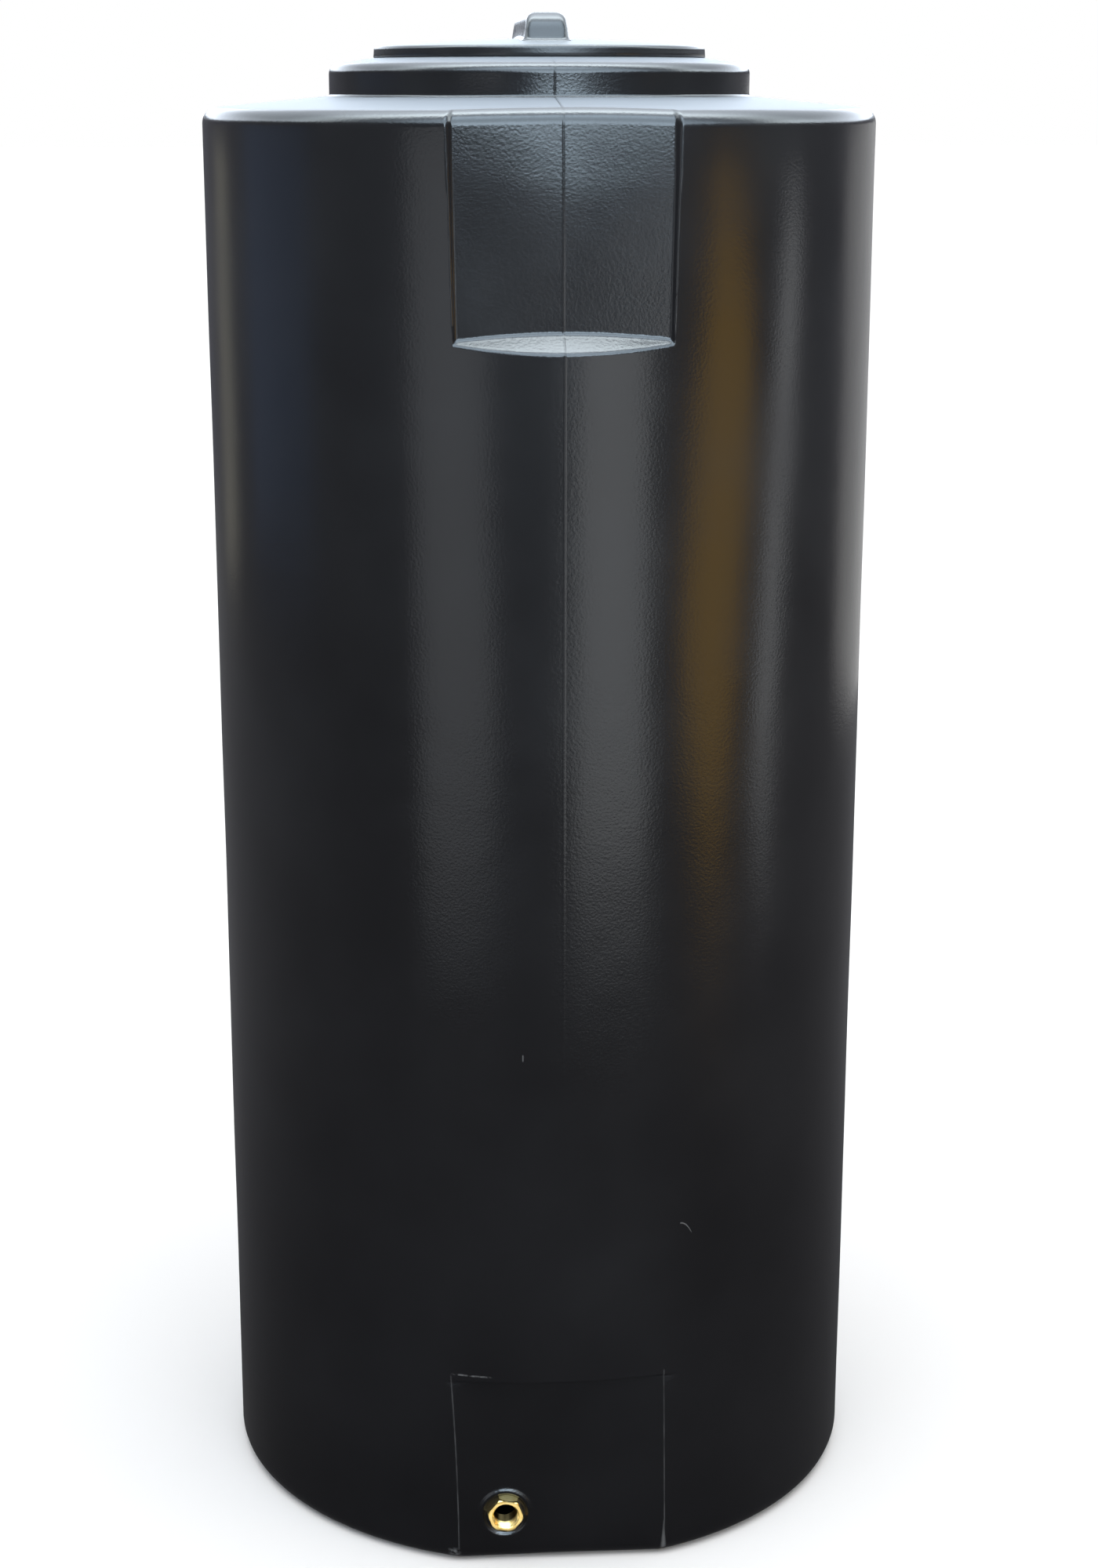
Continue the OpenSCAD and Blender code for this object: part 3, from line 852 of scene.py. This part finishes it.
# %% All marks as one mask
def scuffs_and_painted_highlights(tree, place):
    """Painted highlights on the creases and feet, and scuffs, on the front of the tank."""
    at = add(tree, "ShaderNodeSeparateXYZ", {"Vector": place})
    x, y, z = (at.outputs[k] for k in "XYZ")
    broken = uneven_noise(tree, place, 260.0, 3.0, 0.38, 0.62, 0.0)
    uneven = uneven_noise(tree, place, 45.0, 2.0, 0.35, 0.65, 0.35)
    front = calc(tree, "LESS_THAN", y, 0.0)
    # the painted crease highlights: the right line leans straight, and the left one bows outward as
    # it climbs
    right_at = calc(tree, "MULTIPLY_ADD", z, right_crease_lean, right_crease_x)
    left_at = calc(tree, "MULTIPLY_ADD", times(tree, z, z), left_crease_bend, left_crease_x)
    crease_highlight = calc(tree, "MAXIMUM", near(tree, calc(tree, "SUBTRACT", x, right_at), right_highlight_w),
               near(tree, calc(tree, "ADD", x, left_at), left_highlight_w))
    crease_highlight = times(tree, crease_highlight, between(tree, z, crease_foot_z, crease_top_z, 4 * MM), uneven,
                crease_highlight_share)
    # painted highlights at the feet: a triangle at the right one, a mottled patch at the left one
    wide = calc(tree, "MULTIPLY_ADD", z, right_foot_lean, right_foot_w)
    wide = calc(tree, "MAXIMUM", wide, 0.1 * MM)
    beside = calc(tree, "DIVIDE", calc(tree, "SUBTRACT", x, right_foot_x), wide)
    right_foot_highlight = times(tree, near(tree, beside, 1.0),
                       between(tree, z, 5 * MM, 42 * MM, 3 * MM), uneven)
    left_foot_highlight = times(tree, near(tree, calc(tree, "ADD", x, left_foot_x), left_foot_w),
                      between(tree, z, 4 * MM, 17 * MM, 4 * MM), broken)
    # scuffs: one along the lip, one short upright nick, one curved like a hook
    lip = times(tree, near(tree, calc(tree, "SUBTRACT", z, lip_scuff_z), lip_scuff_w),
                between(tree, x, -108.5 * MM, -67 * MM, 6 * MM), broken)
    nick = times(tree, near(tree, calc(tree, "ADD", x, nick_x), nick_w),
                 between(tree, z, 531.5 * MM, 539.5 * MM, 2 * MM))
    bow = calc(tree, "POWER", calc(tree, "SUBTRACT", x, hook_x), 2.0)
    bow = calc(tree, "MULTIPLY_ADD", bow, hook_bend, hook_z)
    hook = times(tree, near(tree, calc(tree, "SUBTRACT", z, bow), hook_w),
                 between(tree, x, 114.0 * MM, 127.2 * MM, 2 * MM))
    marks = crease_highlight
    for more in (right_foot_highlight, left_foot_highlight, lip, nick, hook):
        marks = calc(tree, "MAXIMUM", marks, more)
    return times(tree, marks, front)


# %% [markdown]
# ## Black moulded plastic
# Moulded polyethylene is dyed through, so its colour is nearly even. What
# tells it from paint is the skin: a fine pebble from the mould's surface
# and a slow orange peel, both as bump, and a gloss that varies in patches.
# Upward faces turn a pale blue-grey: partly dust, and partly a painted sheen
# for the bright sky that the top mirrors. A pale coat all over would hide the
# black, so it is mixed in by how much the surface looks upward.

# %% The plastic's skin
BLACK_TANK, BLACK_LID = (0.0052, 0.0052, 0.0062), (0.006, 0.006, 0.007)
# upward faces: dust, and a painted sky sheen that lightens the top
DUST_AND_SKY_SHEEN_TANK, DUST_AND_SKY_SHEEN_LID = (0.13, 0.145, 0.165), (0.16, 0.175, 0.19)
# grey of the scuffs and of the painted crease and foot highlights
SCUFF_AND_HIGHLIGHT_GREY, DUSTY_ROUGHNESS = (0.10, 0.105, 0.11), 0.5
PATCH_SCALE, PEEL_SCALE, GRAIN_SCALE = 5.0, 34.0, 420.0


def black_plastic(name, base, rough, pebble, dust_and_sky_sheen, marked=False):
    """Black plastic: rough is its mean roughness, and pebble the strength of its grain."""
    finish, tree, skin_node = new_finish(name)
    place = add(tree, "ShaderNodeTexCoord").outputs["Object"]
    patches = add(tree, "ShaderNodeTexNoise",
                  {"Vector": place, "Scale": PATCH_SCALE, "Detail": 3.0})
    grain = add(tree, "ShaderNodeTexNoise",
                {"Vector": place, "Scale": GRAIN_SCALE, "Detail": 2.0})
    peel = add(tree, "ShaderNodeTexNoise", {"Vector": place, "Scale": PEEL_SCALE, "Detail": 0.0})
    dark, light = tuple(0.8 * v for v in base), tuple(1.25 * v for v in base)
    colour = ramp(tree, patches.outputs["Fac"], [(0.3, dark), (0.7, light)])
    # dust and painted sky sheen: 1 where the surface looks up within 7 degrees, 0 beyond 20 degrees
    facing = add(tree, "ShaderNodeSeparateXYZ",
                 {"Vector": add(tree, "ShaderNodeNewGeometry").outputs["Normal"]})
    upward = add(tree, "ShaderNodeMapRange", {"Value": facing.outputs["Z"], "From Min": 0.94,
                                              "From Max": 0.992}).outputs["Result"]
    colour = add(tree, "ShaderNodeMix", {0: upward, 6: colour, 7: (*dust_and_sky_sheen, 1)},
                 data_type="RGBA").outputs[2]
    # scuffs, and painted highlights on the lower creases and feet
    if marked:
        colour = add(tree, "ShaderNodeMix", {0: scuffs_and_painted_highlights(tree, place), 6: colour,
                                             7: (*SCUFF_AND_HIGHLIGHT_GREY, 1)}, data_type="RGBA").outputs[2]
    tree.links.new(colour, skin_node.inputs["Base Color"])
    gloss = add(tree, "ShaderNodeMapRange", {"Value": patches.outputs["Fac"], "From Min": 0.3,
                                             "From Max": 0.7, "To Min": rough - 0.03,
                                             "To Max": rough + 0.04})
    dulled = add(tree, "ShaderNodeMix", {0: upward, 2: gloss.outputs["Result"],
                                         3: DUSTY_ROUGHNESS})
    tree.links.new(dulled.outputs[0], skin_node.inputs["Roughness"])
    slow = add(tree, "ShaderNodeBump", {"Height": peel.outputs["Fac"], "Strength": 0.10,
                                        "Distance": 1.2 * MM})
    fine = add(tree, "ShaderNodeBump", {"Height": grain.outputs["Fac"], "Strength": pebble,
                                        "Distance": 0.3 * MM, "Normal": slow.outputs["Normal"]})
    tree.links.new(fine.outputs["Normal"], skin_node.inputs["Normal"])
    skin_node.inputs["Specular IOR Level"].default_value = 0.5
    return finish


wear(tank, black_plastic("moulded_black", BLACK_TANK, 0.20, 0.45, DUST_AND_SKY_SHEEN_TANK, marked=True))
wear(lid, black_plastic("lid_black", BLACK_LID, 0.27, 0.3, DUST_AND_SKY_SHEEN_LID))
print("black plastic on", tank.name, "and", lid.name)

# %% [markdown]
# ## Brass
# The brass is sawn and turned bar, bright yellow with faint turning lines.
# An even gold looks like plastic, so a fine noise stains it and a finer one
# bumps it. Little light reaches the bottom of the bore, so its shade is
# painted into the colour, which darkens to near black with depth.

# %% Brass with turning lines
BRASS_DARK, BRASS_BRIGHT, BORE_SHADE = (0.72, 0.50, 0.16), (0.90, 0.70, 0.30), (0.02, 0.014, 0.006)
bore_shade_from, bore_shade_full = brass_front + 6 * MM, brass_front + 13 * MM
brass_finish, tree, metal = new_finish("turned_brass")
place = add(tree, "ShaderNodeTexCoord").outputs["Object"]
stain = add(tree, "ShaderNodeTexNoise", {"Vector": place, "Scale": 160.0, "Detail": 4.0})
colour = ramp(tree, stain.outputs["Fac"], [(0.3, BRASS_DARK), (0.7, BRASS_BRIGHT)])
# painted shade: the colour darkens to near black deeper in the bore
depth = add(tree, "ShaderNodeSeparateXYZ", {"Vector": place}).outputs["Y"]
deep = add(tree, "ShaderNodeMapRange", {"Value": depth, "From Min": bore_shade_from,
                                        "From Max": bore_shade_full}).outputs["Result"]
colour = add(tree, "ShaderNodeMix", {0: deep, 6: colour, 7: (*BORE_SHADE, 1)},
             data_type="RGBA").outputs[2]
tree.links.new(colour, metal.inputs["Base Color"])
metal.inputs["Metallic"].default_value = 1.0
metal.inputs["Roughness"].default_value = 0.24
lines = add(tree, "ShaderNodeTexNoise", {"Vector": place, "Scale": 900.0, "Detail": 2.0})
turned = add(tree, "ShaderNodeBump", {"Height": lines.outputs["Fac"], "Strength": 0.2,
                                      "Distance": 0.2 * MM})
tree.links.new(turned.outputs["Normal"], metal.inputs["Normal"])
wear(brass, brass_finish)
print("brass on", brass.name)

# %% [markdown]
# ## Rubber
# The seal is plain black rubber that stays out of sight under the rim. A
# dull black with a faint bloom is all that it needs.

# %% Rubber with a faint bloom
RUBBER, BLOOM = (0.012, 0.012, 0.012), (0.03, 0.03, 0.03)
rubber_finish, tree, rubber = new_finish("black_rubber")
place = add(tree, "ShaderNodeTexCoord").outputs["Object"]
cloudy = add(tree, "ShaderNodeTexNoise", {"Vector": place, "Scale": 90.0, "Detail": 3.0})
colour = ramp(tree, cloudy.outputs["Fac"], [(0.3, RUBBER), (0.8, BLOOM)])
tree.links.new(colour, rubber.inputs["Base Color"])
rubber.inputs["Roughness"].default_value = 0.7
wear(seal, rubber_finish)
print("rubber on", seal.name)

# %% [markdown]
# ## Floor and surroundings
# The tank stands on a plain pale floor that keeps its shadow. A white
# background could come from strong lamps on a backdrop, but they would wash
# out the black. It comes from the world's colour instead: rays from the
# camera and from glossy or clear surfaces meet plain white, and all other
# rays meet a dimmer fill.

# %% Pale floor and white surroundings
floor_size = 60.0
floor_mesh = bpy.data.meshes.new("floor")
floor_mesh.from_pydata([(-floor_size, -floor_size, 0), (floor_size, -floor_size, 0),
                        (floor_size, floor_size, 0), (-floor_size, floor_size, 0)], [],
                       [(0, 1, 2, 3)])
floor = bpy.data.objects.new("floor", floor_mesh)
floor.location.z = -0.2 * MM  # a hair under the tank's bottom
bpy.context.scene.collection.objects.link(floor)
floor_finish, tree, paint = new_finish("pale_floor")
paint.inputs["Base Color"].default_value = (0.9, 0.9, 0.9, 1)
paint.inputs["Roughness"].default_value = 0.9
paint.inputs["Specular IOR Level"].default_value = 0.1
floor_mesh.materials.append(floor_finish)
print("floor", 2 * floor_size, "m wide")

# %% World: white where it is seen or mirrored, a dimmer fill elsewhere
world = bpy.data.worlds.new("white_studio")
bpy.context.scene.world = world
world.use_nodes = True
tree = world.node_tree
tree.nodes.clear()
path = add(tree, "ShaderNodeLightPath")
seen = add(tree, "ShaderNodeMath", {0: path.outputs["Is Camera Ray"],
                                    1: path.outputs["Is Glossy Ray"]}, operation="MAXIMUM")
seen = add(tree, "ShaderNodeMath", {0: seen.outputs[0], 1: path.outputs["Is Transmission Ray"]},
           operation="MAXIMUM")
fill = add(tree, "ShaderNodeBackground", {"Color": (0.97, 0.98, 1.0, 1), "Strength": 0.62})
white = add(tree, "ShaderNodeBackground", {"Color": (1, 1, 1, 1), "Strength": 1.0})
both = add(tree, "ShaderNodeMixShader", {0: seen.outputs[0], 1: fill.outputs[0],
                                         2: white.outputs[0]})
add(tree, "ShaderNodeOutputWorld", {"Surface": both.outputs[0]})
print("world fill", round(fill.inputs["Strength"].default_value, 2))

# %% [markdown]
# ## Lamps
# A black glossy wall hardly shows light that falls on it: it shows what it
# mirrors. One broad sun, nearly overhead and a little in front, lights the
# upward faces and the floor. Tall soft cards stand round the tank, and the
# round wall mirrors each one as an upright streak. A picture of a sky would
# give streaks too, but a card can be moved or dimmed by itself. One card is
# warm, and three have a roll that makes their streaks slant.

# %% Lamps: one wide sun above and plain cards beside
camera_yaw = math.radians(4)
key = bpy.data.lights.new("top_key", "SUN")
key.energy, key.angle = 2.0, math.radians(60)
key_lamp = bpy.data.objects.new("top_key", key)
key_lamp.rotation_euler = (math.radians(10), 0, -camera_yaw)
bpy.context.scene.collection.objects.link(key_lamp)


def card(name, azimuth, distance, half_angle, low, high, radiance, colour, roll):
    """A soft panel that faces the tank. Azimuth 0 is the camera's side, positive to the right."""
    lamp = bpy.data.lights.new(name, "AREA")
    width = 2 * distance * math.tan(math.radians(half_angle))
    lamp.shape, lamp.size, lamp.size_y = "RECTANGLE", width, high - low
    lamp.energy = radiance * math.pi * width * (high - low)
    lamp.color = colour
    o = bpy.data.objects.new(name, lamp)
    turn = math.radians(azimuth) - camera_yaw
    o.location = (distance * math.sin(turn), -distance * math.cos(turn), (low + high) / 2)
    o.rotation_euler = (math.radians(90), math.radians(roll), turn)
    o.visible_camera = False
    bpy.context.scene.collection.objects.link(o)


# name, azimuth, distance, half angle, low edge, high edge, radiance, colour, roll
CARDS = (
    ("left_card", -28, 2.6, 12, 0.0, 1.60, 0.85, (0.93, 0.96, 1.0), -9),
    ("right_card", 23, 2.3, 12, 0.1, 1.30, 1.7, (0.95, 0.98, 1.0), 0),
    ("warm_card", 60, 2.8, 9, 0.0, 1.25, 1.6, (1.0, 0.54, 0.0), 30),
    ("strip_card", 84, 2.6, 3.5, 0.0, 1.30, 1.9, (0.96, 0.98, 1.0), 28),
    ("right_back_card", 146, 2.8, 24, 0.2, 1.45, 0.5, (1.0, 1.0, 0.98), 0),
    ("blue_card", -96, 3.4, 16, 0.45, 1.60, 0.27, (0.20, 0.42, 0.9), 0),
    ("olive_card", -131, 3.0, 6, 0.45, 1.35, 0.35, (1.0, 0.95, 0.72), 0),
)
for row in CARDS:
    card(*row)
print("cards", len(CARDS))

# %% [markdown]
# ## What only glossy surfaces see
# With white all round, the black wall and the recess would turn an even
# grey. A dark ground, a dark skyline and a bright sky stand round the tank
# for it to mirror. They light nothing and throw no shadow, because only
# glossy rays see them. All three are stage and not part of the tank.

# %% A surface that only glossy rays see
def mirrored_only(name, points, faces):
    """A glowing surface, kept from the camera, from plain light and from shadows."""
    mesh = bpy.data.meshes.new(name)
    mesh.from_pydata(points, [], faces)
    o = bpy.data.objects.new(name, mesh)
    bpy.context.scene.collection.objects.link(o)
    finish, tree, paint = new_finish(name)
    paint.inputs["Base Color"].default_value = (0, 0, 0, 1)
    paint.inputs["Specular IOR Level"].default_value = 0
    paint.inputs["Emission Strength"].default_value = 1
    mesh.materials.append(finish)
    o.visible_camera = o.visible_diffuse = o.visible_shadow = o.visible_transmission = False
    return tree, paint


# %% Rings round the tank, and the skyline's height in degrees by direction
SIDES = 96
ROOM_R, SKY_R, EYE_Z = 7, 8, 1.4
room_turn = np.linspace(-180, 180, SIDES, endpoint=False)
seen_at = [-180, -140, -100, -60, -30, -12, 0, 15, 35, 50, 90, 130, 180]
skyline = [4, 8, 20, 30, 28, 20, 9, 6.5, 14, 20, 16, 8, 4]
skyline_z = EYE_Z + ROOM_R * np.tan(np.radians(np.interp(room_turn, seen_at, skyline)))


def around(r, z):
    """A ring of points about the tank. Direction 0 is the camera's side."""
    turn = np.radians(room_turn) - camera_yaw
    z = z + 0 * turn
    return list(zip((r * np.sin(turn)).tolist(), (-r * np.cos(turn)).tolist(), z.tolist()))


def band(k):
    """Faces between ring k and the next."""
    return [(k * SIDES + j, k * SIDES + (j + 1) % SIDES, (k + 1) * SIDES + (j + 1) % SIDES,
             (k + 1) * SIDES + j) for j in range(SIDES)]


print("skyline from", min(skyline), "to", max(skyline), "degrees")

# %% Dark ground, lighter farther out, and the dark wall of the skyline
GROUND_NEAR_R, GROUND_Z, GROUND_REACH = 0.302, 0.1 * MM, 4.0
tree, paint = mirrored_only("dark_ground", around(GROUND_NEAR_R, GROUND_Z)
                            + around(ROOM_R, GROUND_Z), band(0))
place = add(tree, "ShaderNodeTexCoord").outputs["Object"]
away = add(tree, "ShaderNodeVectorMath", {0: place}, operation="LENGTH").outputs["Value"]
# the glow is darkest next to the tank: painted shadow of the tank on the mirrored ground
ground = ramp(tree, calc(tree, "DIVIDE", away, GROUND_REACH),
              [(0.09, (0.08, 0.08, 0.084)), (0.17, (0.10, 0.10, 0.107)),
               (0.40, (0.15, 0.15, 0.16))])
tree.links.new(ground, paint.inputs["Emission Color"])
tree, paint = mirrored_only("dark_wall", around(ROOM_R, 0) + around(ROOM_R, skyline_z), band(0))
paint.inputs["Emission Color"].default_value = (0.12, 0.12, 0.14, 1)
print("dark ground from", GROUND_NEAR_R, "to", ROOM_R, "m")

# %% Bright sky: a tint from front to back times a level from low to high
SKY_FRONT, SKY_BACK, SKY_STRENGTH = -6.0, 6.5, 18.0
climb = np.radians(np.linspace(0, 90, 10))
sky_points = [p for t in climb
              for p in around(SKY_R * math.cos(t) + MM, EYE_Z + SKY_R * math.sin(t))]
tree, paint = mirrored_only("bright_sky", sky_points, [f for k in range(9) for f in band(k)])
place = add(tree, "ShaderNodeTexCoord").outputs["Object"]
parts = add(tree, "ShaderNodeSeparateXYZ", {"Vector": place})
back = add(tree, "ShaderNodeMapRange", {"Value": parts.outputs["Y"], "From Min": SKY_FRONT,
                                        "From Max": SKY_BACK})
tint = ramp(tree, back.outputs["Result"], [(0.0, (0.68, 0.85, 1.0)), (0.12, (0.62, 0.78, 0.92)),
                                           (0.25, (0.16, 0.19, 0.22)), (0.35, (0.22, 0.26, 0.30)),
                                           (0.43, (0.84, 0.95, 1.0)), (0.54, (0.80, 0.92, 1.0)),
                                           (0.66, (0.40, 0.45, 0.50)), (1.0, (0.30, 0.33, 0.37))])
height = add(tree, "ShaderNodeMapRange", {"Value": parts.outputs["Z"], "From Min": EYE_Z,
                                          "From Max": EYE_Z + SKY_R})
level = ramp(tree, height.outputs["Result"],
             [(at, (grey,) * 3) for at, grey in
              ((0.10, 0.80), (0.34, 0.52), (0.48, 0.34), (0.70, 0.4), (0.96, 1))])
sky = add(tree, "ShaderNodeMix", {0: 1.0, 6: tint, 7: level}, data_type="RGBA",
          blend_type="MULTIPLY")
tree.links.new(sky.outputs[2], paint.inputs["Emission Color"])
paint.inputs["Emission Strength"].default_value = SKY_STRENGTH
print("sky strength", SKY_STRENGTH)

# %% [markdown]
# ## A small light for the brass
# The brass sits low, and its facets mirror the shaded floor in front. A
# brighter lamp for the whole scene would lift the black with it. So one
# small card lies near the floor, looks up, and lights the brass alone by
# light linking.

# %% A small card that lights the brass alone
brass_only = bpy.data.collections.new("brass_only")
brass_only.objects.link(brass)
spark = bpy.data.lights.new("brass_card", "AREA")
spark.shape, spark.size, spark.size_y = "RECTANGLE", 0.30, 0.20
spark_radiance = 1.15
spark.energy = spark_radiance * math.pi * spark.size * spark.size_y
spark.color = (1.0, 0.98, 0.94)
spark_lamp = bpy.data.objects.new("brass_card", spark)
spark_lamp.location = (outlet_x, brass_front - 140 * MM, 4 * MM)
spark_lamp.rotation_euler = (math.radians(180), 0, 0)
spark_lamp.visible_camera = False
bpy.context.scene.collection.objects.link(spark_lamp)
spark_lamp.light_linking.receiver_collection = brass_only
print("brass card", round(spark.energy, 3), "W")

# %% [markdown]
# ## Camera
# The camera stands where the photograph's did. Its distance, height and
# tilt follow from how the tank's outlines converge and how round its rims
# look, and its focal length is kept in the photograph's pixels.

# %% Camera at the photograph's place
FOCAL_PX, PHOTO_H = 3356, 2000
AXIS_PX, MIDDLE_PX = 687.6, 700
camera_far, camera_high, camera_tilt = 2.637, 1.417, math.radians(14.91)
lens = bpy.data.cameras.new("camera")
lens.sensor_fit, lens.sensor_height = "VERTICAL", 36
lens.lens = FOCAL_PX / PHOTO_H * lens.sensor_height
lens.shift_x = (MIDDLE_PX - AXIS_PX) / PHOTO_H
lens.clip_start, lens.clip_end = 0.05, 200
camera = bpy.data.objects.new("camera", lens)
camera.location = (-camera_far * math.sin(camera_yaw), -camera_far * math.cos(camera_yaw),
                   camera_high)
camera.rotation_euler = (math.pi / 2 - camera_tilt, 0, -camera_yaw)
bpy.context.scene.collection.objects.link(camera)
bpy.context.scene.camera = camera
bpy.context.scene.view_settings.view_transform = "Standard"
print("lens", round(lens.lens, 1), "mm on a", round(lens.sensor_height), "mm high sensor")
